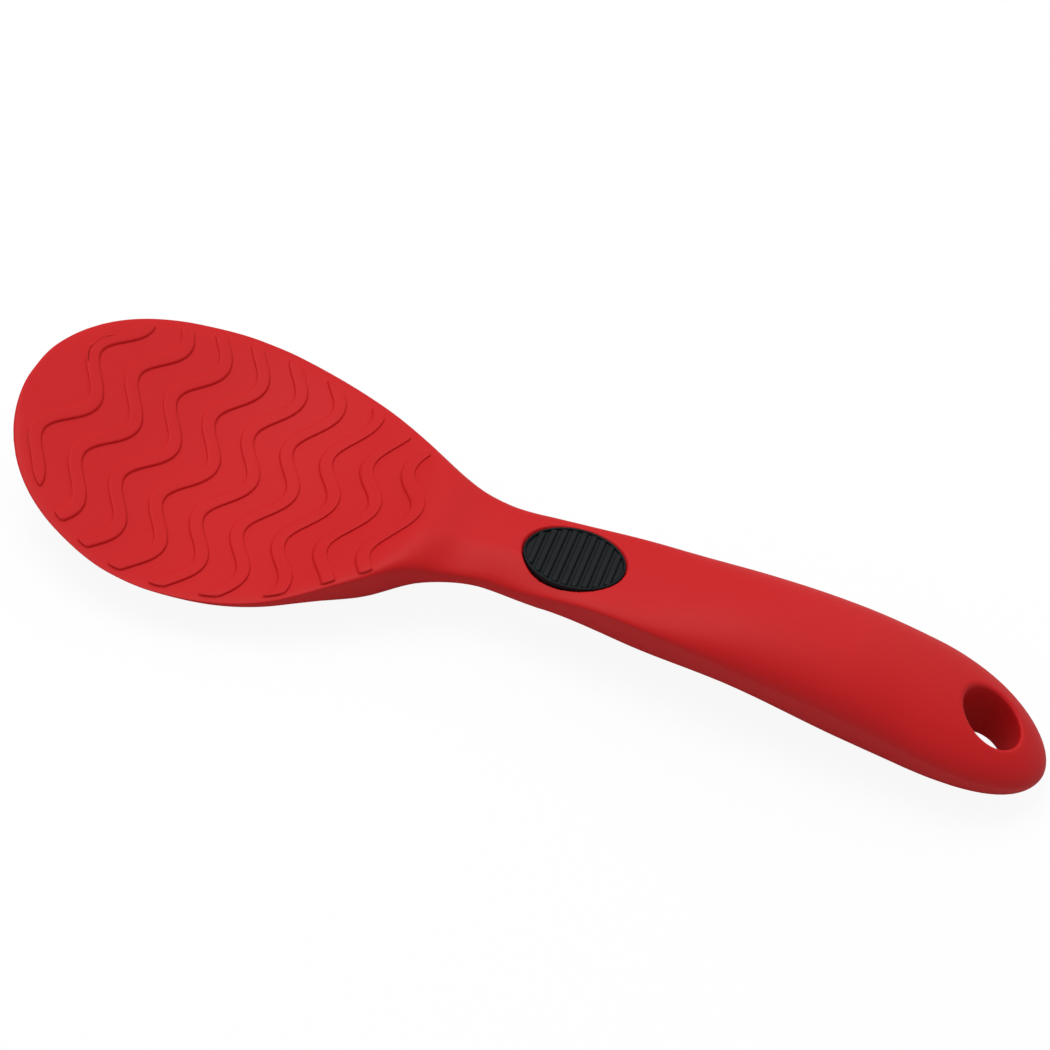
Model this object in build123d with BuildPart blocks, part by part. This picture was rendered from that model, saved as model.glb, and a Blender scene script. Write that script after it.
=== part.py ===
from build123d import *
import math
import os

# Rice paddle. A soft red silicone moulding covers a stiff plastic core: a wide
# dished blade with raised wave bands, a narrow neck, and a full rounded handle
# with a ribbed rubber thumb grip and a hole to hang it up.
#
# Millimetres. X runs along the paddle, tip at -X. Y runs across it. Z is up from
# the table that the paddle lies on, with the dished side upwards. The origin is
# on the table under the middle of the paddle.

os.makedirs("parts", exist_ok=True)

# Whole paddle. The rim line is the widest line of the moulding, where its upper
# and under sides meet.
length = 240.0
blade_width = 79.0
neck_width = 20.6
handle_width = 31.0
rim_height = 19.5        # highest run of the rim line above the table
dish_depth = 3.0         # how far the blade's middle lies under its rim line
handle_crown = 8.9       # how far the handle rises over its rim line
handle_keel = 15.0       # how far the handle reaches under its rim line

# Blade
tip_radius = 38.0        # plan radius of the blade's rounded tip
rim_thickness = 2.2
middle_thickness = 3.2
band_count = 9
band_width = 3.1
band_height = 0.8
band_pitch = 9.7
band_swing = 3.2         # a wave's reach to either side of its middle
wave_length = 28.0
band_margin = 2.4        # from the ends of the bands to the rim
first_band = 11.5        # the first band's middle, from the tip
first_crest = 28.7       # the first wave crest, from the middle line

# Handle
end_radius = 30.5        # plan radius of the handle's rounded end
hang_hole_radius = 7.2
hang_hole_inset = 16.0   # from the handle's end to the middle of the hole
hang_hole_rounding = 1.2
hang_hole_flare = 2.8    # rounding of its rim on the underside

# Stiffening core
handle_skin = 3.0        # silicone over the core in the handle
neck_skin = 1.0          # and over the tongue's root
tongue_thickness = 1.0
tongue_margin = 10.0     # silicone round the edge of the tongue
slot_width = 5.0         # slots in the tongue that the silicone runs through
slot_length = 24.0
slot_pitch = 13.0
slot_count = 4
eye_wall = 2.0
eye_height = 4.0
eye_sleeve = 1.5         # silicone between the core's eye and the hole

# Thumb grip
grip_length = 23.9
grip_width = 17.9
grip_place = 0.5375 * length
grip_seat = 1.5          # depth of its seat in the silicone
grip_rise = 1.0
grip_rounding = 0.5
grip_border = 1.0
grip_rib_count = 10
grip_rib_width = 1.1
grip_rib_height = 0.5
grip_clearance = 0.15
stem_length = 13.0
stem_width = 7.0
stem_reach = 6.0         # from the floor of the grip's seat down into the core

overrun = 6.0

# Guide curves. Each place is a share of the length from the tip, and each value
# a share of the size named beside it.
outline_shares = [
    (0.00, blade_width, 0.515), (0.10, blade_width, 0.490), (0.20, blade_width, 0.508),
    (0.30, blade_width, 0.415), (0.36, blade_width, 0.298), (0.41, blade_width, 0.173),
    (0.46, neck_width, 0.510), (0.51, neck_width, 0.530), (0.62, handle_width, 0.412),
    (0.75, handle_width, 0.476), (0.85, handle_width, 0.508), (0.94, handle_width, 0.548),
    (1.00, handle_width, 0.590),
]
rim_line_shares = [
    (0.00, 0.990), (0.08, 0.705), (0.19, 0.517), (0.29, 0.525), (0.36, 0.715),
    (0.40, 0.780), (0.44, 0.750), (0.48, 0.760), (0.53, 0.880), (0.58, 0.990),
    (0.71, 0.930), (0.83, 0.838), (0.94, 0.567), (1.00, 0.282),
]
crown_shares = [
    (0.00, 0.124), (0.31, 0.127), (0.36, 0.170), (0.40, 0.370), (0.44, 0.427),
    (0.48, 0.416), (0.53, 0.236), (0.61, 0.205), (0.71, 0.827), (0.81, 0.994),
    (0.92, 0.951), (1.00, 1.057),
]
keel_shares = [
    (0.00, 0.073), (0.19, 0.073), (0.25, 0.226), (0.31, 0.370), (0.37, 0.750),
    (0.41, 0.735), (0.46, 0.620), (0.52, 0.710), (0.61, 0.990), (0.71, 0.885),
    (0.81, 1.035), (0.92, 0.910), (1.00, 0.840),
]
dish_shares = [
    (0.00, 0.00), (0.08, 0.44), (0.19, 1.00), (0.29, 0.70), (0.38, 0.40), (0.46, 0.00),
]

# A section is sharp-cornered in the blade and rounds off through the shoulder.
blade_squareness = 8
crown_squareness = 2.15
keel_squareness = 3
upper_shoulder_share = (0.29, 0.49)
under_shoulder_share = (0.26, 0.465)
tuck_shares = (0.52, 0.62)
tuck = 0.10              # how far the underside of the handle breaks from upright


def follow(knots, place):
    """The value, at one place, of a smooth curve through (place, value) knots."""
    places = [knot[0] for knot in knots]
    values = [knot[1] for knot in knots]
    steps = [b - a for a, b in zip(places, places[1:])]
    rates = [(b - a) / step for a, b, step in zip(values, values[1:], steps)]
    inner = [
        (step_b * rate_a + step_a * rate_b) / (step_a + step_b)
        for step_a, step_b, rate_a, rate_b in zip(steps, steps[1:], rates, rates[1:])
    ]
    first = (3 * rates[0] - inner[0]) / 2
    last = (3 * rates[-1] - inner[-1]) / 2
    slopes = [first] + inner + [last]
    i = max(k for k in range(len(steps)) if k == 0 or places[k] <= place)
    t = min(max((place - places[i]) / steps[i], 0), 1)
    return (
        values[i] * (1 + 2 * t) * (1 - t) ** 2
        + steps[i] * slopes[i] * t * (1 - t) ** 2
        + values[i + 1] * t * t * (3 - 2 * t)
        + steps[i] * slopes[i + 1] * t * t * (t - 1)
    )


def ease(start, finish, place):
    """Rises smoothly from 0 at start to 1 at finish."""
    t = min(max((place - start) / (finish - start), 0), 1)
    return t * t * (3 - 2 * t)


def arch(across, squareness, fullness):
    """A unit arch over -1 to 1. Below a fullness of 1 it meets its base at a slant."""
    base = math.sqrt(1 - fullness**squareness)
    return (math.sqrt(1 - (fullness * abs(across)) ** squareness) - base) / (1 - base)


def tip_round(place):
    return math.sqrt(1 - max(0, 1 - place / tip_radius) ** 2)


def end_round(place):
    return math.sqrt(1 - max(0, 1 - (length - place) / end_radius) ** 2)


def half_width(place):
    knots = [(share, width * value) for share, width, value in outline_shares]
    return follow(knots, place / length) * tip_round(place) * end_round(place)


def rim_line(place):
    return follow(rim_line_shares, place / length) * rim_height


def dish(place):
    """Depth of the dish at the middle of the blade."""
    return follow(dish_shares, min(place / length, dish_shares[-1][0])) * dish_depth


def upper(place, across):
    """Height of the upper side over the rim line, across running from -1 to 1."""
    share = place / length
    shoulder = ease(*upper_shoulder_share, share)
    squareness = blade_squareness + (crown_squareness - blade_squareness) * shoulder
    rise = follow(crown_shares, share) * handle_crown * end_round(place) * tip_lip(place)
    bowl = dish(place) * tip_round(place) ** 2
    return rise * arch(across, squareness, 1) - bowl * (1 - across**2)


def under(place, across):
    """Depth of the underside below the rim line, as a negative height."""
    share = place / length
    shoulder = ease(*under_shoulder_share, share)
    squareness = blade_squareness + (keel_squareness - blade_squareness) * shoulder
    fullness = 1 - tuck * ease(*tuck_shares, share)
    drop = follow(keel_shares, share) * handle_keel * end_round(place) * tip_lip(place)
    thick = (middle_thickness - rim_thickness) * (1 - shoulder)
    bowl = (dish(place) + thick) * tip_round(place) ** 2
    return -drop * arch(across, squareness, fullness) - bowl * (1 - across**2)


def tip_lip(place):
    """Rounds the rim in the last half thickness before the tip."""
    return math.sqrt(1 - max(0, 1 - place / (rim_thickness / 2)) ** 2)


# The paddle rests on the lowest point of its underside.
survey = [length * (k + 0.5) / 240 for k in range(240)]
lift = -min(rim_line(place) + under(place, 0) for place in survey)


def top_height(place, across=0):
    return lift + rim_line(place) + upper(place, across)


def bottom_height(place, across=0):
    return lift + rim_line(place) + under(place, across)


def at(place):
    """X of a place measured from the tip."""
    return place - length / 2


# The silicone's outer form, lofted through sections that crowd towards both ends.
across_shares = [-1, -0.93, -0.75, -0.4, 0, 0.4, 0.75, 0.93, 1]
run_shares = [0, 0.04, 0.13, 0.3, 0.5, 0.7, 0.87, 0.96, 1]
tip_places = [tip_radius * (1 - math.cos(math.radians(turn))) for turn in (3, 14, 28, 44, 62, 80)]
end_places = [
    length - end_radius * (1 - math.cos(math.radians(turn))) for turn in (76, 58, 41, 26, 13, 3)
]
middle_share = [0.18, 0.235, 0.285, 0.335, 0.375, 0.41, 0.45, 0.49, 0.55, 0.62, 0.70, 0.78, 0.85]
form_places = tip_places + [length * share for share in middle_share] + end_places
blade_sections = len(tip_places) + middle_share.index(0.45) + 1

with BuildPart() as moulding_form:
    for place in form_places:
        reach = half_width(place)
        upper_edge = [(v * reach, top_height(place, v)) for v in across_shares]
        under_edge = [(v * reach, bottom_height(place, v)) for v in reversed(across_shares)]
        with BuildSketch(Plane.YZ.offset(at(place))):
            with BuildLine():
                add(Edge.make_spline(upper_edge, parameters=run_shares))
                add(Edge.make_spline(under_edge, parameters=run_shares))
            make_face()
    loft()


def blade_slab(top, bottom):
    """A thin shell over the whole dished face, between two offsets from its surface."""
    quarter_shares = [0, 0.25, 0.5, 0.75, 1]
    sections = []
    for place in form_places[:blade_sections]:
        reach = half_width(place)
        rim = lift + rim_line(place) + follow(crown_shares, place / length) * handle_crown
        bowl = dish(place) * tip_round(place) ** 2
        heights = [(v, rim - bowl * (1 - v**2)) for v in (-1, -0.5, 0, 0.5, 1)]
        high = [(v * reach, z + top) for v, z in heights]
        low = [(v * reach, z + bottom) for v, z in reversed(heights)]
        with BuildSketch(Plane.YZ.offset(at(place))) as section:
            with BuildLine():
                add(Edge.make_spline(high, parameters=quarter_shares))
                Line(high[-1], low[0])
                add(Edge.make_spline(low, parameters=quarter_shares))
                Line(low[-1], high[0])
            make_face()
        sections.append(section.sketch)
    return loft(sections, mode=Mode.PRIVATE)


# Plan outline of the blade, as far as the neck.
outline_places = [length * share for share in (0.43, 0.40, 0.36, 0.32, 0.26, 0.20)]
outline_places += list(reversed(tip_places))


def inset_outline(margin):
    """The blade's outline moved inwards, as points from the neck round the tip and back."""
    step = length / 1000
    far_side = []
    for place in outline_places:
        slope = (half_width(place + step) - half_width(place)) / step
        inward = margin / math.hypot(1, slope)
        far_side.append((at(place) + inward * slope, half_width(place) - inward))
    near_side = [(x, -y) for x, y in reversed(far_side)]
    return far_side + [(at(0) + margin, 0)] + near_side


# Wave bands: each runs right across the blade and stops short of the rim.
field_edge = inset_outline(band_margin)
with BuildSketch() as band_field:
    with BuildLine():
        Spline(*field_edge)
        Line(field_edge[-1], field_edge[0])
    make_face()

quarter_wave = wave_length / 4
wave_slope = math.pi / 2 * band_swing / quarter_wave
quarters = math.ceil(blade_width / quarter_wave) + 2
with BuildSketch() as band_sketch:
    for band in range(band_count):
        middle = at(first_band + band * band_pitch)
        sides = []
        for side in (1, -1):
            points = []
            for k in range(-2, quarters):
                swing = (1, 0, -1, 0)[k % 4] * band_swing
                slope = (0, -1, 0, 1)[k % 4] * wave_slope
                stretch = side * band_width / 2 / math.hypot(1, slope)
                points.append((middle + swing + stretch, k * quarter_wave - first_crest - slope * stretch))
            sides.append(points)
        with BuildLine():
            Spline(*sides[0])
            Line(sides[0][-1], sides[1][-1])
            Spline(*reversed(sides[1]))
            Line(sides[1][0], sides[0][0])
        make_face()
    add(band_field.sketch, mode=Mode.INTERSECT)

with BuildPart() as wave_bands:
    add(band_sketch.sketch)
    extrude(amount=lift + rim_height * 2)
    add(blade_slab(band_height, -rim_thickness / 2), mode=Mode.INTERSECT)

# Stiffening core: a slotted tongue in the blade, a spine from the shoulder to the
# end of the handle, and an eye round the hanging hole.
hole_x = at(length - hang_hole_inset)
eye_radius = hang_hole_radius + eye_sleeve + eye_wall
eye_far_place = length - hang_hole_inset + eye_radius
eye_middle = lift + (rim_line(length - hang_hole_inset) + rim_line(eye_far_place)) / 2
spine_shares = (0.345, 0.38, 0.42, 0.46, 0.51, 0.57, 0.64, 0.72, 0.80, 0.86)
spine_places = [length * share for share in spine_shares]
spine_places.append(length - hang_hole_inset - hang_hole_radius)
spine_across = [-1, -0.6, 0, 0.6, 1]
spine_run = [0, 0.22, 0.5, 0.78, 1]
skin_shares = (0.43, 0.51)
sink = rim_thickness / 2 + tongue_thickness / 2

tongue_edge = inset_outline(tongue_margin)
with BuildSketch() as tongue_sketch:
    with BuildLine():
        Spline(*tongue_edge)
        Line(tongue_edge[-1], tongue_edge[0])
    make_face()
    slots_middle = at(spine_places[0]) - slot_pitch * slot_count / 2
    with Locations((slots_middle, 0)):
        with GridLocations(slot_pitch, 0, slot_count, 1):
            SlotOverall(slot_length, slot_width, rotation=90, mode=Mode.SUBTRACT)

# The grip lies on the slope of the handle's upper side.
grip_start = top_height(grip_place - grip_length / 2)
grip_finish = top_height(grip_place + grip_length / 2)
grip_tilt = math.atan2(grip_finish - grip_start, grip_length)
grip_plane = Plane(
    origin=(at(grip_place), 0, (grip_start + grip_finish) / 2),
    x_dir=(math.cos(grip_tilt), 0, math.sin(grip_tilt)),
    z_dir=(-math.sin(grip_tilt), 0, math.cos(grip_tilt)),
)
seat_floor = grip_plane.offset(-grip_seat)

with BuildPart() as tongue:
    add(tongue_sketch.sketch)
    extrude(amount=lift + rim_height * 2)
    add(blade_slab(-sink + tongue_thickness, -sink), mode=Mode.INTERSECT)

with BuildPart() as stiffening_core:
    for place in spine_places:
        narrowing = 1 - handle_skin / half_width(place)
        skin = neck_skin + (handle_skin - neck_skin) * ease(*skin_shares, place / length)
        over = []
        below = []
        for v in spine_across:
            y = v * narrowing * half_width(place)
            over.append((y, top_height(place, v * narrowing) - skin))
            below.insert(0, (y, bottom_height(place, v * narrowing) + handle_skin))
        with BuildSketch(Plane.YZ.offset(at(place))):
            with BuildLine():
                add(Edge.make_spline(over, parameters=spine_run))
                Line(over[-1], below[0])
                add(Edge.make_spline(below, parameters=spine_run))
                Line(below[-1], over[0])
            make_face()
    loft()
    with BuildSketch(Plane.XY.offset(eye_middle - eye_height / 2)):
        with Locations((hole_x, 0)):
            Circle(eye_radius)
    extrude(amount=eye_height)
    add(tongue.part)
    with Locations((hole_x, 0, 0)):
        Cylinder(
            hang_hole_radius + eye_sleeve, (lift + rim_height) * 4, mode=Mode.SUBTRACT
        )
    with BuildSketch(seat_floor):
        SlotOverall(stem_length, stem_width)
    extrude(amount=-stem_reach, mode=Mode.SUBTRACT)

# Silicone body: the outer form with its bands, less the core, the grip's seat and
# the hanging hole.
with BuildPart() as silicone_body:
    add(moulding_form.part)
    add(wave_bands.part)
    with BuildSketch(seat_floor):
        Ellipse(grip_length / 2 + grip_clearance, grip_width / 2 + grip_clearance)
    extrude(amount=grip_seat + overrun, mode=Mode.SUBTRACT)
    with BuildSketch(seat_floor):
        SlotOverall(stem_length, stem_width)
    extrude(amount=-stem_reach, mode=Mode.SUBTRACT)
    with Locations((hole_x, 0, 0)):
        Cylinder(hang_hole_radius, (lift + rim_height) * 4, mode=Mode.SUBTRACT)
    hole_rims = [
        edge
        for edge in edges()
        if all(
            abs(math.hypot(point.X - hole_x, point.Y) - hang_hole_radius) < hang_hole_radius / 100
            for point in (edge @ 0, edge @ 0.3, edge @ 0.6)
        )
        and edge.bounding_box().size.Y > hang_hole_radius
    ]
    lower_rim, upper_rim = sorted(hole_rims, key=lambda edge: edge.center().Z)
    fillet(upper_rim, radius=hang_hole_rounding)
    fillet(lower_rim, radius=hang_hole_flare)
    add(stiffening_core.part, mode=Mode.SUBTRACT)
silicone_body.part.label = "silicone_body"
stiffening_core.part.label = "stiffening_core"

# Thumb grip: an oval pad with cross ribs inside a plain border, on a stem that
# plugs into the core.
with BuildPart() as thumb_grip:
    with BuildSketch(seat_floor):
        Ellipse(grip_length / 2, grip_width / 2)
    extrude(amount=grip_seat + grip_rise)
    upwards = Axis(grip_plane.origin, grip_plane.z_dir)
    fillet(faces().sort_by(upwards)[-1].edges(), radius=grip_rounding)
    field_length = grip_length - 2 * grip_border
    rib_pitch = field_length / (grip_rib_count + 1)
    with BuildSketch(grip_plane.offset(grip_rise)):
        Ellipse(field_length / 2, grip_width / 2 - grip_border)
        with GridLocations(rib_pitch, 0, grip_rib_count, 1):
            Rectangle(grip_rib_width, grip_width, mode=Mode.SUBTRACT)
    extrude(amount=-grip_rib_height, mode=Mode.SUBTRACT)
    with BuildSketch(seat_floor):
        SlotOverall(stem_length, stem_width)
    extrude(amount=-stem_reach)
thumb_grip.part.label = "thumb_grip"

export_step(silicone_body.part, "parts/silicone_body.step")
export_step(stiffening_core.part, "parts/stiffening_core.step")
export_step(thumb_grip.part, "parts/thumb_grip.step")
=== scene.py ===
# %% [markdown]
# # A silicone rice paddle
#
# The paddle is one soft red moulding over a hidden stiff core, with an oval rubber
# grip pressed into the handle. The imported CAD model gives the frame, and sizes to start
# from. This lesson makes the two pieces that are seen, finer than the CAD solids, and
# gives each its material. Everything is in metres, with the paddle lying on the table.

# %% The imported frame
import math

import bmesh
import bpy
import numpy as np
from mathutils import Matrix, Vector


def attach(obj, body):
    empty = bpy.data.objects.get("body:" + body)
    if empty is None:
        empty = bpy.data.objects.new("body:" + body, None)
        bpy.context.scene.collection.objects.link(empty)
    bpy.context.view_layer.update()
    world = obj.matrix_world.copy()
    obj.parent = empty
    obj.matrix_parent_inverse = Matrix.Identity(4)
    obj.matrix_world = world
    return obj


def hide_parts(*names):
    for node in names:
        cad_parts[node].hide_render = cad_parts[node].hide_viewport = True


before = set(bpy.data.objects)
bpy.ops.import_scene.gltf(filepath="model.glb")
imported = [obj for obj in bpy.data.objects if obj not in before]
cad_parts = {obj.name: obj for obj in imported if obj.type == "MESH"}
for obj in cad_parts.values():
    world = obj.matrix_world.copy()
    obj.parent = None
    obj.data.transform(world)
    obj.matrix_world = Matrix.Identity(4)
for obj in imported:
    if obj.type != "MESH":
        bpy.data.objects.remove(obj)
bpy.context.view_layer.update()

MM = 0.001

# %% [markdown]
# ## The shape of the moulding
#
# A paddle like this has no flat faces to start from. Its maker draws a few guide
# curves along its length: how wide it is, how high its rim runs, how far the handle
# rises over the rim and reaches under it, and how deep the blade is dished. A mesh
# could be pushed about by hand until it looks right, but curves are easier to correct,
# so they are followed here as whole arrays. They start from the CAD model's knots. Where
# the picture's outline showed the neck and the handle's end up to 2 mm off, the knots
# were moved to it, and the near side of the neck was rolled down a little.

# %% Guide curves
LENGTH = 240.0
OUTLINE = np.array([
    (0.00, 40.19), (0.10, 39.51), (0.20, 40.70), (0.30, 33.38), (0.36, 23.56),
    (0.41, 15.05), (0.46, 11.28), (0.51, 11.37), (0.62, 13.03), (0.75, 15.05),
    (0.85, 16.10), (0.94, 16.99), (1.00, 17.40),
])
RIM_LINE = np.array([
    (0.00, 0.990), (0.08, 0.712), (0.19, 0.498), (0.29, 0.524), (0.36, 0.736),
    (0.40, 0.814), (0.44, 0.830), (0.48, 0.845), (0.53, 0.922), (0.58, 0.973),
    (0.71, 0.930), (0.83, 0.831), (0.94, 0.556), (1.00, 0.320),
]) * (1, 19.5)
CROWN = np.array([
    (0.00, 0.124), (0.31, 0.127), (0.36, 0.170), (0.40, 0.389), (0.44, 0.208),
    (0.48, 0.261), (0.53, 0.169), (0.61, 0.265), (0.71, 0.832), (0.81, 0.953),
    (0.92, 0.802), (1.00, 0.847),
]) * (1, 8.9)
KEEL = np.array([
    (0.00, 0.073), (0.10, 0.052), (0.19, 0.073), (0.25, 0.216), (0.31, 0.386),
    (0.37, 0.780), (0.41, 0.674), (0.46, 0.598), (0.52, 0.712), (0.61, 0.969),
    (0.71, 0.880), (0.81, 1.020), (0.92, 0.877), (1.00, 0.870),
]) * (1, 15.0)
DISH = np.array([
    (0.00, 0.00), (0.08, 0.44), (0.19, 1.00), (0.29, 0.70), (0.38, 0.40), (0.46, 0.00),
]) * (1, 3.0)
TIP_RADIUS = 38.0
END_RADIUS = 30.5
RIM_THICKNESS = 2.2
MIDDLE_THICKNESS = 3.4

# Runs are shares of the length, from where a change starts to where it is complete.
SHOULDER_RUN = (0.29, 0.49)          # the blade's flat top becomes the handle's arch
BELLY_RUN = (0.26, 0.465)            # the blade's flat underside becomes the keel
FLAT_NECK_RUNS = (0.40, 0.47), (0.52, 0.64)
FULLNESS_RUN = (0.52, 0.62)
BLADE_SQUARENESS = 8                 # superellipse power of a nearly flat plate
TOP_SOFTENING, NECK_SQUARING, BELLY_SOFTENING = 5.85, 2.1, 5
FULLNESS_CUT = 0.10
NEAR_ROLL = 1.7                      # how far the neck's near side is rolled down
ROLL_RUNS = (0.37, 0.43), (0.50, 0.58)
ROLL_ABOVE, ROLL_BELOW = (0.25, 1.0), (0.9, 1.0)     # in shares of the half width


def follow(knots, share):
    """Cubic curve through the knots.

    Each knot's slope is the mean of the slopes beside it, weighted by the other span.
    """
    places, values = knots.T
    steps = np.diff(places)
    rates = np.diff(values) / steps
    inner = (steps[1:] * rates[:-1] + steps[:-1] * rates[1:]) / (steps[:-1] + steps[1:])
    slopes = np.concatenate([[(3 * rates[0] - inner[0]) / 2], inner, [(3 * rates[-1] - inner[-1]) / 2]])
    i = np.clip(np.searchsorted(places, share, side="right") - 1, 0, len(steps) - 1)
    t = np.clip((share - places[i]) / steps[i], 0, 1)
    rise = values[i] * (1 + 2 * t) * (1 - t) ** 2 + steps[i] * slopes[i] * t * (1 - t) ** 2
    return rise + values[i + 1] * t * t * (3 - 2 * t) + steps[i] * slopes[i + 1] * t * t * (t - 1)


def ease(start, finish, share):
    """Rises from 0 to 1 as three times t squared less twice t cubed."""
    t = np.clip((share - start) / (finish - start), 0, 1)
    return t * t * (3 - 2 * t)


def arch(across, squareness, fullness):
    """Superellipse arch over -1 to 1. A fullness below 1 cuts it above its widest line."""
    base = np.sqrt(1 - fullness**squareness)
    return (np.sqrt(1 - (fullness * np.abs(across)) ** squareness) - base) / (1 - base)


def rounding(distance, radius):
    """Quarter circle: 0 at distance 0, 1 from the radius on."""
    return np.sqrt(np.clip(1 - np.clip(1 - distance / radius, 0, 1) ** 2, 0, 1))


def half_width(place):
    ends = rounding(place, TIP_RADIUS) * rounding(LENGTH - place, END_RADIUS)
    return follow(OUTLINE, place / LENGTH) * ends


def heights(place, across):
    """Upper and lower height: the rim line, plus or minus an arch, less the bowl of the dish."""
    share = place / LENGTH
    rim = follow(RIM_LINE, share)
    ends = rounding(LENGTH - place, END_RADIUS) * rounding(place, RIM_THICKNESS / 2)
    bowl = follow(DISH, np.minimum(share, DISH[-1, 0])) * rounding(place, TIP_RADIUS) ** 2
    shoulder = ease(*SHOULDER_RUN, share)
    belly = ease(*BELLY_RUN, share)
    flat_neck = ease(*FLAT_NECK_RUNS[0], share) * (1 - ease(*FLAT_NECK_RUNS[1], share))
    squareness = BLADE_SQUARENESS - TOP_SOFTENING * shoulder + NECK_SQUARING * flat_neck
    rise = follow(CROWN, share) * ends * arch(across, squareness, 1.0)
    fullness = 1 - FULLNESS_CUT * ease(*FULLNESS_RUN, share)
    drop = follow(KEEL, share) * ends * arch(across, BLADE_SQUARENESS - BELLY_SOFTENING * belly, fullness)
    thick = (MIDDLE_THICKNESS - RIM_THICKNESS) * (1 - belly) * rounding(place, TIP_RADIUS) ** 2
    hollow = 1 - across**2
    roll = NEAR_ROLL * ease(*ROLL_RUNS[0], share) * (1 - ease(*ROLL_RUNS[1], share))
    upper = rim + rise - roll * ease(*ROLL_ABOVE, -across) - bowl * hollow
    lower = rim - drop - roll * ease(*ROLL_BELOW, -across) - (bowl + thick) * hollow
    return LIFT + upper, LIFT + lower


# The paddle rests on the lowest point of its underside.
LIFT = 0.0
SURVEY_POINTS = 240
survey = LENGTH * (np.arange(SURVEY_POINTS) + 0.5) / SURVEY_POINTS
LIFT = -heights(survey, np.zeros(SURVEY_POINTS))[1].min()
print("lift", round(LIFT, 3), "blade width", round(2 * half_width(survey).max(), 2))

# %% [markdown]
# ## Wave bands on the blade
#
# Rice sticks to a smooth blade, so this one carries nine raised bands that wave across
# it. They are part of the same moulding. They could be swept separately and laid on
# top, but then their feet would be two surfaces that only cross. Instead the blade's
# own grid bends with the waves: its rows run along the bands and crowd at their edges,
# and its columns crowd where the bands end, so the bands are only a change in height.

# %% The waves
BAND_COUNT = 9
BAND_PITCH = 9.7
FIRST_BAND = 11.5
BAND_HALF = 1.55
BAND_HEIGHT = 0.6
BAND_MARGIN = 2.4
SWING = 3.2
WAVE_LENGTH = 28.0
FIRST_CREST = 28.7
CORNER = 1.0             # plan radius of the bands' corners
TIP_GAP = 0.8            # the swing is full this far short of the first band
HEEL_GAP, HEEL_RUN = 0.4, 14     # past the last band it fades between these
last_band = FIRST_BAND + (BAND_COUNT - 1) * BAND_PITCH


def wave(across_mm):
    """Cosine wave: how far a band swings along the paddle, and how steeply."""
    turn = 2 * math.pi * (across_mm + FIRST_CREST) / WAVE_LENGTH
    return SWING * np.cos(turn), -SWING * 2 * math.pi / WAVE_LENGTH * np.sin(turn)


def waved(row, across_mm):
    """Where a row runs: its place, plus the swing, plus what keeps a slanting band's width."""
    band_end = last_band + BAND_HALF
    fade = np.clip(row / (FIRST_BAND - BAND_HALF - TIP_GAP), 0, 1)
    fade = fade * (1 - ease(band_end + HEEL_GAP, band_end + HEEL_RUN, row))
    middles = FIRST_BAND + BAND_PITCH * np.arange(BAND_COUNT)
    knots = np.stack([middles - BAND_HALF, middles + BAND_HALF], 1).ravel()
    knots = np.concatenate([[0], knots, [band_end + HEEL_RUN]])
    offsets = np.concatenate([[0], np.tile([-BAND_HALF, BAND_HALF], BAND_COUNT), [0]])
    swing, slope = wave(across_mm)
    return row + fade * swing + np.interp(row, knots, offsets) * fade * (np.hypot(1, slope) - 1)


# %% Rows and columns of the plan grid
GRIP_PLACE = 128.9
GRIP_HALF_LENGTH = 11.5
GRIP_HALF_WIDTH = 8.9
POCKET_DEPTH = 1.5
POCKET_LIP = (0.4, -0.05)
HOLE_PLACE = LENGTH - 15.3
PATCH_PLACE = LENGTH - 34
EDGE_STEPS = np.array([-0.14, -0.02, 0.02, 0.07, 0.15, 0.28, 0.48, 0.8])
EDGE_LEVELS = [0.0, 0.04, 0.30, 0.60, 0.82, 0.93, 0.98, 1.0]
TIP_ROWS, GAP_ROWS, HEEL_ROWS, GRIP_ROWS, HANDLE_ROWS = 26, 5, 20, 80, 44
GRIP_REACH = 13.7        # the rows crowd this far on both sides of the grip's middle
half_band = EDGE_STEPS - BAND_HALF
band_offsets = np.concatenate([half_band, [-0.25, 0.25], -half_band[::-1]])
tip_turns = np.linspace(0.06, math.pi / 2, TIP_ROWS)
rows = [(FIRST_BAND - BAND_HALF - 0.4) * (1 - np.cos(tip_turns))]
for band in range(BAND_COUNT):
    middle = FIRST_BAND + band * BAND_PITCH
    rows.append(middle + band_offsets)
    if band < BAND_COUNT - 1:
        gap_start, gap_finish = middle + BAND_HALF + 0.5, middle + BAND_PITCH - BAND_HALF - 0.5
        rows.append(np.linspace(gap_start, gap_finish, GAP_ROWS))
rows.append(np.linspace(last_band + BAND_HALF + 0.6, GRIP_PLACE - 14, HEEL_ROWS))
rows.append(np.linspace(GRIP_PLACE - GRIP_REACH, GRIP_PLACE + GRIP_REACH, GRIP_ROWS))
rows.append(np.linspace(GRIP_PLACE + 14.3, PATCH_PLACE, HANDLE_ROWS))
rows = np.concatenate(rows)

rim_insets = np.array([0, 0.03, 0.1, 0.25, 0.5, 0.9, 1.3, 1.6, 1.85, 2.1])
band_insets = BAND_MARGIN + np.concatenate([EDGE_STEPS, [1.05, 1.3, 1.6, 2.0]])
insets = np.concatenate([rim_insets, band_insets])
INNER_COLUMNS = 28
tip_places = TIP_RADIUS * (1 - np.cos(np.linspace(0.002, 1.2, 400)))
fine_places = np.concatenate([tip_places, np.linspace(24.5, LENGTH - 20, 1600)])
fine_width = half_width(fine_places)
HALF_STEPS = 150
fine_slope = np.gradient(fine_width, fine_places)
# The picture's bands end nearer the rim on the near side of the blade.
NARROWING = np.array([(15, 1.0), (32, 0.65), (68, 0.55), (78, 0.35), (92, 0.35), (108, 1.0)])
near_narrowing = np.interp(fine_places, *NARROWING.T)


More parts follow.
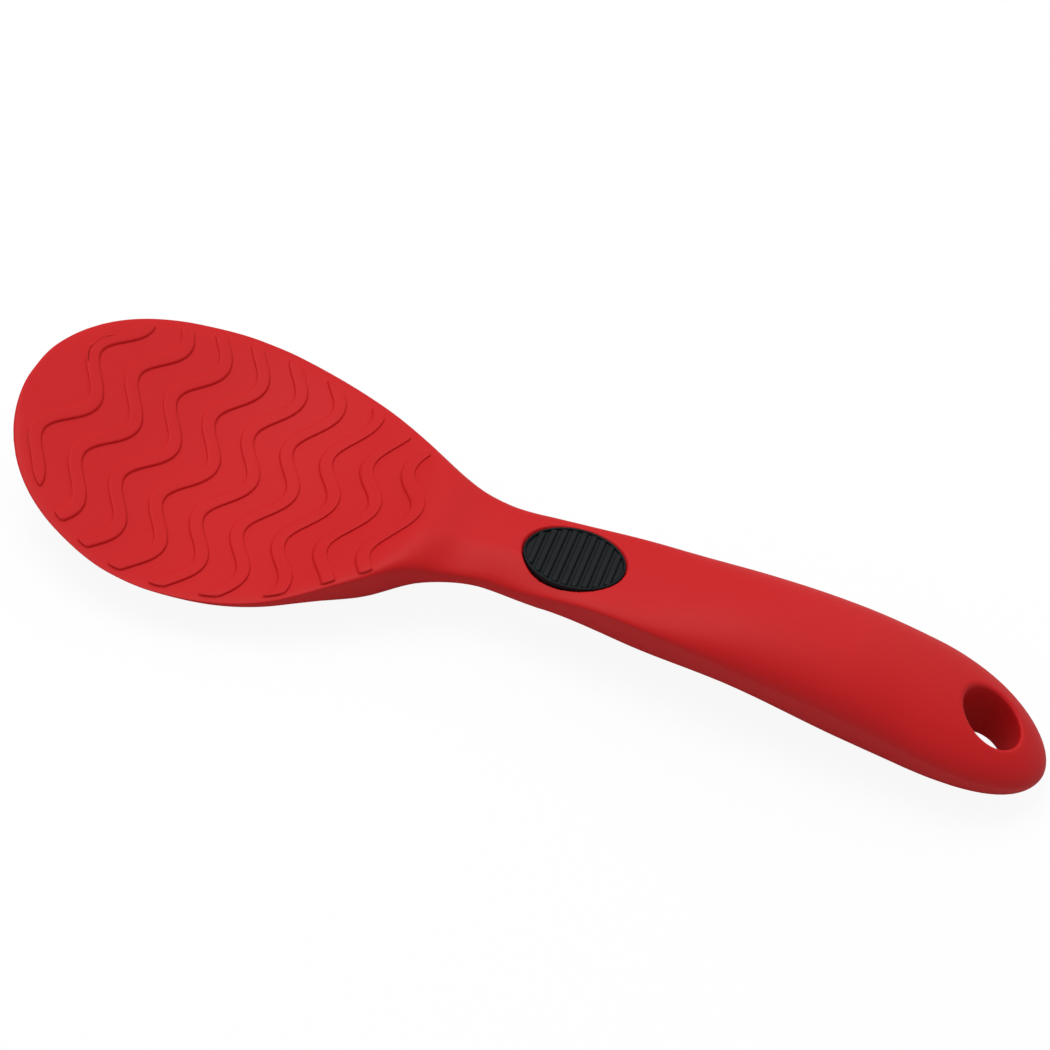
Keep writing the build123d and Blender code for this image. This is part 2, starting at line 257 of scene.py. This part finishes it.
def crossing(row, inset, side):
    """Where each row meets the outline moved inwards, found by stepping half-way there many times."""
    stretch = inset * (near_narrowing if side < 0 else 1.0) / np.hypot(1, fine_slope)
    moved_place, moved_width = fine_places + stretch * fine_slope, fine_width - stretch
    across = side * np.interp(row, moved_place, moved_width)
    for _ in range(HALF_STEPS):
        across = across + 0.5 * (side * np.interp(waved(row, across), moved_place, moved_width) - across)
    return across


def columns(side):
    """Every row's points from one rim to the middle line: close together near the rim, even further in."""
    near = np.stack([crossing(rows, inset, side) for inset in insets], 1)
    shares = near / near[:, :1]
    steady = np.argmax(rows > FIRST_BAND - BAND_HALF - 0.5)
    shares[:steady] = shares[steady]
    near = near[:, :1] * shares
    inward = near[:, -1:] * (1 - np.arange(1, INNER_COLUMNS + 1) / INNER_COLUMNS)
    return np.concatenate([near, inward], 1)


far_half, near_half = columns(1), columns(-1)
plan_y = np.concatenate([far_half, near_half[:, -2::-1]], 1)
plan_s = waved(rows[:, None], plan_y)
print("plan grid", plan_y.shape)

# %% The height of the bands
def band_relief(row, column_inset):
    """Height by the distance inside a band's rounded corners: steep at the edge, level on top."""
    nearest = np.clip(np.round((row - FIRST_BAND) / BAND_PITCH), 0, BAND_COUNT - 1)
    inside_edge = BAND_HALF - np.abs(row - FIRST_BAND - nearest * BAND_PITCH)
    inside_end = column_inset - BAND_MARGIN
    short = np.hypot(np.maximum(CORNER - inside_edge, 0), np.maximum(CORNER - inside_end, 0))
    return BAND_HEIGHT * np.interp(CORNER - short, EDGE_STEPS, EDGE_LEVELS)


WELL_INSIDE = 20.0
column_insets = np.concatenate([insets, np.full(INNER_COLUMNS, WELL_INSIDE)])
column_insets = np.concatenate([column_insets, column_insets[-2::-1]])
relief = band_relief(rows[:, None], column_insets[None, :])
plan_v = np.clip(plan_y / half_width(plan_s), -1, 1)
plan_v[:, 0], plan_v[:, -1] = 1, -1
top_z, bottom_z = heights(plan_s, plan_v)
top_z = top_z + relief

# The pocket is at full depth under the grip's oval and ends just outside it.
along, aside = (plan_s - GRIP_PLACE) / GRIP_HALF_LENGTH, plan_y / GRIP_HALF_WIDTH
out = np.maximum(np.hypot(along, aside), 0.05)
outside = (out - 1) * out / np.hypot(along / GRIP_HALF_LENGTH, aside / GRIP_HALF_WIDTH).clip(1e-3)
top_z = top_z - POCKET_DEPTH * ease(*POCKET_LIP, outside)

# %% [markdown]
# ## The hanging hole
#
# The handle ends in a hole with softly rounded rims. Cutting it with a boolean leaves
# long thin faces that shade badly. Here the last stretch of the handle is a patch of
# rays from the hole's rim to the outline, and the rims and the wall are one more
# surface, turned round the hole, so everything meets in shared rings.

# %% Rays round the hole
HOLE_RADIUS = 7.2
HOLE_ROUNDING = 1.2
HOLE_FLARE = 1.9
PROBE_STEP = 0.05
outline_turns = np.linspace(0, math.pi / 2, 60)[1:]
end_run = PATCH_PLACE + (LENGTH - PATCH_PLACE) * np.sin(outline_turns)
end_run[-1] = LENGTH
far_edge = np.stack([end_run, half_width(end_run)], 1)
near_edge = far_edge[-2::-1] * (1, -1)
last_row = np.stack([plan_s[-1], plan_y[-1]], 1)
loop = np.concatenate([last_row[:1], far_edge, near_edge, last_row[::-1]])
last_v = np.clip(last_row[::-1, 1] / last_row[0, 1], -1, 1)
loop_v = np.concatenate([[1], np.ones(len(far_edge)), -np.ones(len(near_edge)), last_v])
centre = np.array([HOLE_PLACE, 0.0])
turns = np.arctan2(loop[:, 1], loop[:, 0] - HOLE_PLACE)
directions = np.stack([np.cos(turns), np.sin(turns)], 1)
ray_steps = 1 - np.array([1, 0.9, 0.8, 0.7, 0.6, 0.5, 0.4, 0.3, 0.22, 0.15, 0.09, 0.05, 0.022, 0.007, 0.0])
quarter = np.linspace(0, math.pi / 2, 10)[:, None]


def across_share(place, across_mm):
    return np.clip(across_mm / np.maximum(half_width(place), 1e-6), -1, 1)


def hole_side(side, softness):
    """Rays from a rim's outer ring to the outline, and the rim itself.

    The rim carries the surface's slope inwards, less a quarter circle.
    """
    start = HOLE_RADIUS + softness
    ring = centre + start * directions
    plan = ring[None] + ray_steps[:, None, None] * (loop - ring)[None]
    shares = across_share(plan[..., 0], plan[..., 1])
    shares[-1] = loop_v
    level = heights(plan[..., 0], shares)[side]
    probe = centre + (start + PROBE_STEP) * directions
    slope = (heights(probe[:, 0], across_share(*probe.T))[side] - level[0]) / PROBE_STEP
    radius = start - softness * np.sin(quarter) * np.ones(len(turns))
    inwards = softness * (1 - np.cos(quarter)) * (-1 if side == 0 else 1)
    return (plan[..., 0], plan[..., 1], level), radius, level[0] + slope * (radius - start) + inwards


patch_top, top_r, rim_top = hole_side(0, HOLE_ROUNDING)
patch_bottom, bottom_r, rim_bottom = hole_side(1, HOLE_FLARE)
wall = np.linspace(0, 1, 8)[1:-1, None]
wall_z = rim_top[-1] * (1 - wall) + rim_bottom[-1] * wall
hole_r = np.concatenate([top_r, np.full_like(wall_z, HOLE_RADIUS), bottom_r[::-1]])
hole_z = np.concatenate([rim_top, wall_z, rim_bottom[::-1]])
hole_s, hole_y = HOLE_PLACE + hole_r * directions[:, 0], hole_r * directions[:, 1]
print("rays", len(turns), "hole rows", len(hole_r))

# %% [markdown]
# ## From arrays to a mesh
#
# Each surface is a grid of points. Neighbouring grids repeat the points where they
# meet, so they are put into one mesh and the repeated points are welded, which closes
# it. Then the faces are turned to point outwards together.

# %% Grids into one mesh
def grid_faces(count_rows, count_columns, start):
    """Four corners of every cell: a point, its right neighbour, and the two above them."""
    index = start + np.arange(count_rows * count_columns).reshape(count_rows, count_columns)
    corners = (index[:-1, :-1], index[:-1, 1:], index[1:, 1:], index[1:, :-1])
    return np.stack(corners, -1).reshape(-1, 4)


def join_grids(name, grids, weld=2e-7):
    """Puts grids of points (rows, columns, xyz in mm) into one closed mesh in metres."""
    points, faces, start = [], [], 0
    for grid in grids:
        points.append(grid.reshape(-1, 3) * MM)
        faces.append(grid_faces(*grid.shape[:2], start))
        start += grid.shape[0] * grid.shape[1]
    mesh = bpy.data.meshes.new(name)
    mesh.from_pydata(np.concatenate(points).tolist(), [], np.concatenate(faces).tolist())
    work = bmesh.new()
    work.from_mesh(mesh)
    bmesh.ops.remove_doubles(work, verts=work.verts, dist=weld)
    bmesh.ops.dissolve_degenerate(work, edges=work.edges, dist=weld)
    bmesh.ops.recalc_face_normals(work, faces=work.faces)
    open_edges = sum(1 for edge in work.edges if not edge.is_manifold)
    for face in work.faces:
        face.smooth = True
    work.to_mesh(mesh)
    work.free()
    piece = bpy.data.objects.new(name, mesh)
    bpy.context.scene.collection.objects.link(piece)
    print(name, "faces", len(mesh.polygons), "open edges", open_edges)
    return piece


def in_frame(place, across_mm, height):
    """Millimetres from the tip become the frame's X, with its zero at mid-length."""
    return np.stack(np.broadcast_arrays(place - LENGTH / 2, across_mm, height), -1)


def with_tip(grid):
    """Adds one row that gathers in a point at the tip, to close it."""
    point = np.array([-LENGTH / 2, 0, LIFT + RIM_LINE[0, 1]])
    return np.concatenate([np.broadcast_to(point, (1,) + grid.shape[1:]), grid])


body_grids = [
    with_tip(in_frame(plan_s, plan_y, top_z)),
    with_tip(in_frame(plan_s, plan_y, bottom_z)),
    in_frame(*patch_top),
    in_frame(*patch_bottom),
    in_frame(hole_s, hole_y, hole_z),
]
paddle_skin = join_grids("paddle_skin", body_grids)
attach(paddle_skin, "root")
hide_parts("silicone_body")

# %% [markdown]
# ## The thumb grip
#
# The grip is a separate oval of black rubber, set almost level into a shallow pocket in
# the slope of the handle. A narrow half-round border runs round it, and straight ribs
# cross the hollow inside, dying away at their ends. The oval is rings of one profile,
# and every rib is one small array, so nine ribs cost no more thought than one.

# %% The grip's place
GRIP_SEAT = 1.9
GRIP_RISE = -0.15
GRIP_BORDER = 0.5
RIB_COUNT = 9
RIB_PITCH = 2.2
RIB_WIDTH = 1.5
RIB_ROUND = 0.5
RIB_HEIGHT = 0.7
RIB_DROP = 0.02          # the ribs' tops lie this far under the grip's plane
RIB_SINK = 0.1           # and their feet this far under the pad's floor
EDGE_RADIUS = 0.28
EDGE_DROP = 0.1
PAD_TURNS = 240
grip_ends = heights(GRIP_PLACE + GRIP_HALF_LENGTH * np.array([-1, 1]), np.zeros(2))[0]
grip_tilt = math.atan2(grip_ends[1] - grip_ends[0], 2 * GRIP_HALF_LENGTH)


def on_grip(along, across_mm, height):
    """Turns points on the grip's own sloping plane into the frame."""
    x = along * math.cos(grip_tilt) - height * math.sin(grip_tilt)
    z = along * math.sin(grip_tilt) + height * math.cos(grip_tilt) + grip_ends.mean()
    return in_frame(*np.broadcast_arrays(GRIP_PLACE + x, across_mm, z))


# %% The oval pad and its ribs
def rings(profile, turns_round):
    """Ovals, each moved inwards by its inset and set at its height."""
    turn = np.linspace(0, 2 * math.pi, turns_round + 1)
    inset, height = np.array(profile).T[:, :, None]
    return on_grip((GRIP_HALF_LENGTH - inset) * np.cos(turn), (GRIP_HALF_WIDTH - inset) * np.sin(turn), height)


floor_height = GRIP_RISE - RIB_HEIGHT
edge_turn = np.linspace(0, math.pi, 11)
edge_round = [
    (EDGE_RADIUS * (1 - math.cos(turn)), GRIP_RISE - EDGE_DROP - EDGE_RADIUS * (1 - math.sin(turn)))
    for turn in edge_turn
]
pad_profile = [(inset, -GRIP_SEAT) for inset in (GRIP_HALF_WIDTH, 4.0, 0)]
pad_profile += [(0, -1.2), (0, -0.8)] + edge_round
pad_profile += [(inset, floor_height) for inset in (0.6, 1.0, 2.5, 4.0, 5.5, 7.0, 8.2, GRIP_HALF_WIDTH)]
pad = rings(pad_profile, PAD_TURNS)
pad[0], pad[-1] = pad[0].mean(0), pad[-1].mean(0)

rib_middles = (np.arange(RIB_COUNT) - (RIB_COUNT - 1) / 2) * RIB_PITCH
rib_reach = (GRIP_HALF_WIDTH - GRIP_BORDER) * np.sqrt(1 - (rib_middles / (GRIP_HALF_LENGTH - GRIP_BORDER)) ** 2)
corner_turn = np.linspace(0, math.pi / 2, 6)
side_x = RIB_WIDTH / 2 - RIB_ROUND * (1 - np.cos(corner_turn))
side_z = GRIP_RISE - RIB_DROP - RIB_ROUND * (1 - np.sin(corner_turn))
rib_x = np.concatenate([[RIB_WIDTH / 2], side_x, -side_x[::-1], [-RIB_WIDTH / 2, RIB_WIDTH / 2]])
rib_foot = floor_height - RIB_SINK
rib_z = np.concatenate([[rib_foot], side_z, side_z[::-1], [rib_foot, rib_foot]])
rib_grids = []
end_insets = np.array([0, 0, 0.08, 0.25, 0.5, 1.0])
end_shares = np.array([0, 0.25, 0.6, 0.85, 0.97, 1.0])
for middle, reach in zip(rib_middles, rib_reach):
    ends = np.concatenate([end_insets - reach, (reach - end_insets)[::-1]])[:, None]
    rise = np.concatenate([end_shares, end_shares[::-1]])[:, None]
    grid = on_grip(middle + rib_x + 0 * ends, ends + 0 * rib_x, rib_foot + (rib_z - rib_foot) * rise)
    grid[0], grid[-1] = grid[0].mean(0), grid[-1].mean(0)
    rib_grids.append(grid)
grip_pad = join_grids("grip_pad", [pad] + rib_grids)
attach(grip_pad, "root")
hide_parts("thumb_grip")

# %% [markdown]
# ## Materials
#
# Silicone rubber leaves its mould with a satin face: a broad, soft highlight and a
# colour that stays even. A very fine grain, finer than the eye resolves, is what
# spreads the highlight. The grip is a harder black rubber with a drier, matte face.
# Both are patterns in the object's own millimetres, so they hold still when it moves.

# %% Colour and node helpers
def linear(code):
    """sRGB hex to linear: a straight part near black, and a power of 2.4 above it."""
    channels = [int(code[k : k + 2], 16) / 255 for k in (1, 3, 5)]
    return tuple(c / 12.92 if c <= 0.04045 else ((c + 0.055) / 1.055) ** 2.4 for c in channels) + (1.0,)


def add_node(tree, kind, settings=None, links=None):
    """Adds one node, sets its properties and sockets, and links other nodes' outputs to it."""
    node = tree.nodes.new(kind)
    for key, value in (settings or {}).items():
        if key in node.inputs:
            node.inputs[key].default_value = value
        else:
            setattr(node, key, value)
    for key, output in (links or {}).items():
        tree.links.new(output, node.inputs[key])
    return node


SHEEN_DRIFT = 0.03


def moulded(name, dark, light, roughness, grain_mm, grain_depth_mm, patch_mm, settings):
    """A moulded rubber: colour drifting slowly between two tones, and a fine even grain."""
    material = bpy.data.materials.new(name)
    material.use_nodes = True
    tree = material.node_tree
    tree.nodes.clear()
    where = add_node(tree, "ShaderNodeTexCoord").outputs["Object"]
    patches = {"Scale": 1 / (patch_mm * MM), "Detail": 2.0, "Roughness": 0.5}
    drift = add_node(tree, "ShaderNodeTexNoise", patches, {"Vector": where})
    tone = add_node(tree, "ShaderNodeMix", {"data_type": "RGBA"}, {0: drift.outputs["Fac"]})
    tone.inputs[6].default_value, tone.inputs[7].default_value = linear(dark), linear(light)
    specks = {"Scale": 1 / (grain_mm * MM), "Detail": 3.0, "Roughness": 0.6}
    grain = add_node(tree, "ShaderNodeTexNoise", specks, {"Vector": where})
    relief = {"Strength": 1.0, "Distance": grain_depth_mm * MM}
    bump = add_node(tree, "ShaderNodeBump", relief, {"Height": grain.outputs["Fac"]})
    limits = {"To Min": roughness - SHEEN_DRIFT, "To Max": roughness + SHEEN_DRIFT}
    sheen = add_node(tree, "ShaderNodeMapRange", limits, {"Value": drift.outputs["Fac"]})
    links = {"Base Color": tone.outputs[2], "Roughness": sheen.outputs["Result"]}
    links["Normal"] = bump.outputs["Normal"]
    shader = add_node(tree, "ShaderNodeBsdfPrincipled", settings, links)
    add_node(tree, "ShaderNodeOutputMaterial", {}, {"Surface": shader.outputs["BSDF"]})
    return material


def dress(piece, material):
    piece.data.materials.clear()
    piece.data.materials.append(material)


# %% The three finishes
# Silicone rubber, moulded: an IOR of 1.41 and a satin face.
silicone_sheen = {"IOR": 1.41, "Specular IOR Level": 0.22}
red_silicone = moulded("red_silicone", "#C2181B", "#C81C1F", 0.55, 0.35, 0.010, 30, silicone_sheen)
# Natural rubber compound, moulded, filled black: matte, with a fine dry grain.
rubber_sheen = {"IOR": 1.5, "Specular IOR Level": 0.2}
grip_rubber = moulded("grip_rubber", "#070D10", "#0B1215", 0.6, 0.30, 0.012, 6, rubber_sheen)
# Glass-filled nylon, moulded: hidden inside the silicone.
core_nylon = moulded("core_nylon", "#2A2A2C", "#303032", 0.6, 0.5, 0.02, 8, {"IOR": 1.53})
dress(paddle_skin, red_silicone)
dress(grip_pad, grip_rubber)
dress(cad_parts["stiffening_core"], core_nylon)

# %% [markdown]
# ## Table, light and camera
#
# The photograph is a product picture: white all round, light from a large soft source
# above, and a camera looking down at the dished side. A white table lit as hard as the
# background needs would also bleach the red, so the table only looks whiter to the
# camera than it is, and keeps a faint soft shadow. From below it is clear, so that the
# underside can be looked at.

# %% Table
table_mesh = bpy.data.meshes.new("table")
REACH = 3.0              # metres from the middle to each side
table_corners = [(-REACH, -REACH, 0), (REACH, -REACH, 0), (REACH, REACH, 0), (-REACH, REACH, 0)]
table_mesh.from_pydata(table_corners, [], [(0, 1, 2, 3)])
table = bpy.data.objects.new("table", table_mesh)
bpy.context.scene.collection.objects.link(table)
paper = bpy.data.materials.new("white_paper")
paper.use_nodes = True
tree = paper.node_tree
tree.nodes.clear()
path = add_node(tree, "ShaderNodeLightPath")
to_camera = path.outputs["Is Camera Ray"]
grey = add_node(tree, "ShaderNodeMapRange", {"To Min": 0.7, "To Max": 0.95}, {"Value": to_camera})
diffuse = add_node(tree, "ShaderNodeBsdfDiffuse", {}, {"Color": grey.outputs["Result"]})
glow = add_node(tree, "ShaderNodeEmission", {"Color": (1, 1, 1, 1), "Strength": 1.0})
share = add_node(tree, "ShaderNodeMath", {"operation": "MULTIPLY"})
tree.links.new(to_camera, share.inputs[0])
share.inputs[1].default_value = 0.92
links = {0: share.outputs[0], 1: diffuse.outputs[0], 2: glow.outputs[0]}
mixed = add_node(tree, "ShaderNodeMixShader", {}, links)
side_seen = add_node(tree, "ShaderNodeNewGeometry")
clear = add_node(tree, "ShaderNodeBsdfTransparent")
links = {0: side_seen.outputs["Backfacing"], 1: mixed.outputs[0], 2: clear.outputs[0]}
sided = add_node(tree, "ShaderNodeMixShader", {}, links)
add_node(tree, "ShaderNodeOutputMaterial", {}, {"Surface": sided.outputs[0]})
dress(table, paper)

# %% Light
def area_light(name, place, power, size, target=(0, 0, 0.01)):
    """A square soft light that faces the paddle."""
    light = bpy.data.lights.new(name, "AREA")
    light.energy, light.size = power, size
    lamp = bpy.data.objects.new(name, light)
    lamp.location = place
    lamp.rotation_euler = (Vector(target) - Vector(place)).to_track_quat("-Z", "Y").to_euler()
    bpy.context.scene.collection.objects.link(lamp)


area_light("key", (-0.36, 0.14, 0.98), 7.6, 0.7)
area_light("back", (0.3, 0.75, 0.65), 1.4, 0.5)
world = bpy.data.worlds.new("studio")
bpy.context.scene.world = world
world.use_nodes = True
tree = world.node_tree
tree.nodes.clear()
path = add_node(tree, "ShaderNodeLightPath")
to_camera = path.outputs["Is Camera Ray"]
strength = add_node(tree, "ShaderNodeMapRange", {"To Min": 0.4, "To Max": 1.0}, {"Value": to_camera})
sky = add_node(tree, "ShaderNodeBackground", {"Color": (1, 1, 1, 1)}, {"Strength": strength.outputs["Result"]})
add_node(tree, "ShaderNodeOutputWorld", {}, {"Surface": sky.outputs["Background"]})

# %% Camera
# Found by matching the outline, the waves, the grip and the hole in the picture.
AZIMUTH, ELEVATION, ROLL = (math.radians(a) for a in (8.86, 46.66, 13.06))
DISTANCE = 460.9
FOCAL = 2045 / 1050      # in picture widths
SENSOR = 36.0
AIM_RIGHT, AIM_UP = 0.576, 17.257
level = math.cos(ELEVATION)
back = Vector((math.sin(AZIMUTH) * level, -math.cos(AZIMUTH) * level, math.sin(ELEVATION)))
right = Vector((math.cos(AZIMUTH), math.sin(AZIMUTH), 0))
up = back.cross(right)
right, up = (
    math.cos(ROLL) * right + math.sin(ROLL) * up,
    math.cos(ROLL) * up - math.sin(ROLL) * right,
)
target = AIM_RIGHT * right + AIM_UP * up + Vector((0, 0, LIFT))
lens = bpy.data.cameras.new("camera")
lens.sensor_width = SENSOR
lens.lens = SENSOR * FOCAL
camera = bpy.data.objects.new("camera", lens)
turned = Matrix((right, up, back)).transposed().to_4x4()
camera.matrix_world = Matrix.Translation((target + back * DISTANCE) * MM) @ turned
bpy.context.scene.collection.objects.link(camera)
bpy.context.scene.camera = camera
bpy.context.scene.view_settings.view_transform = "Standard"
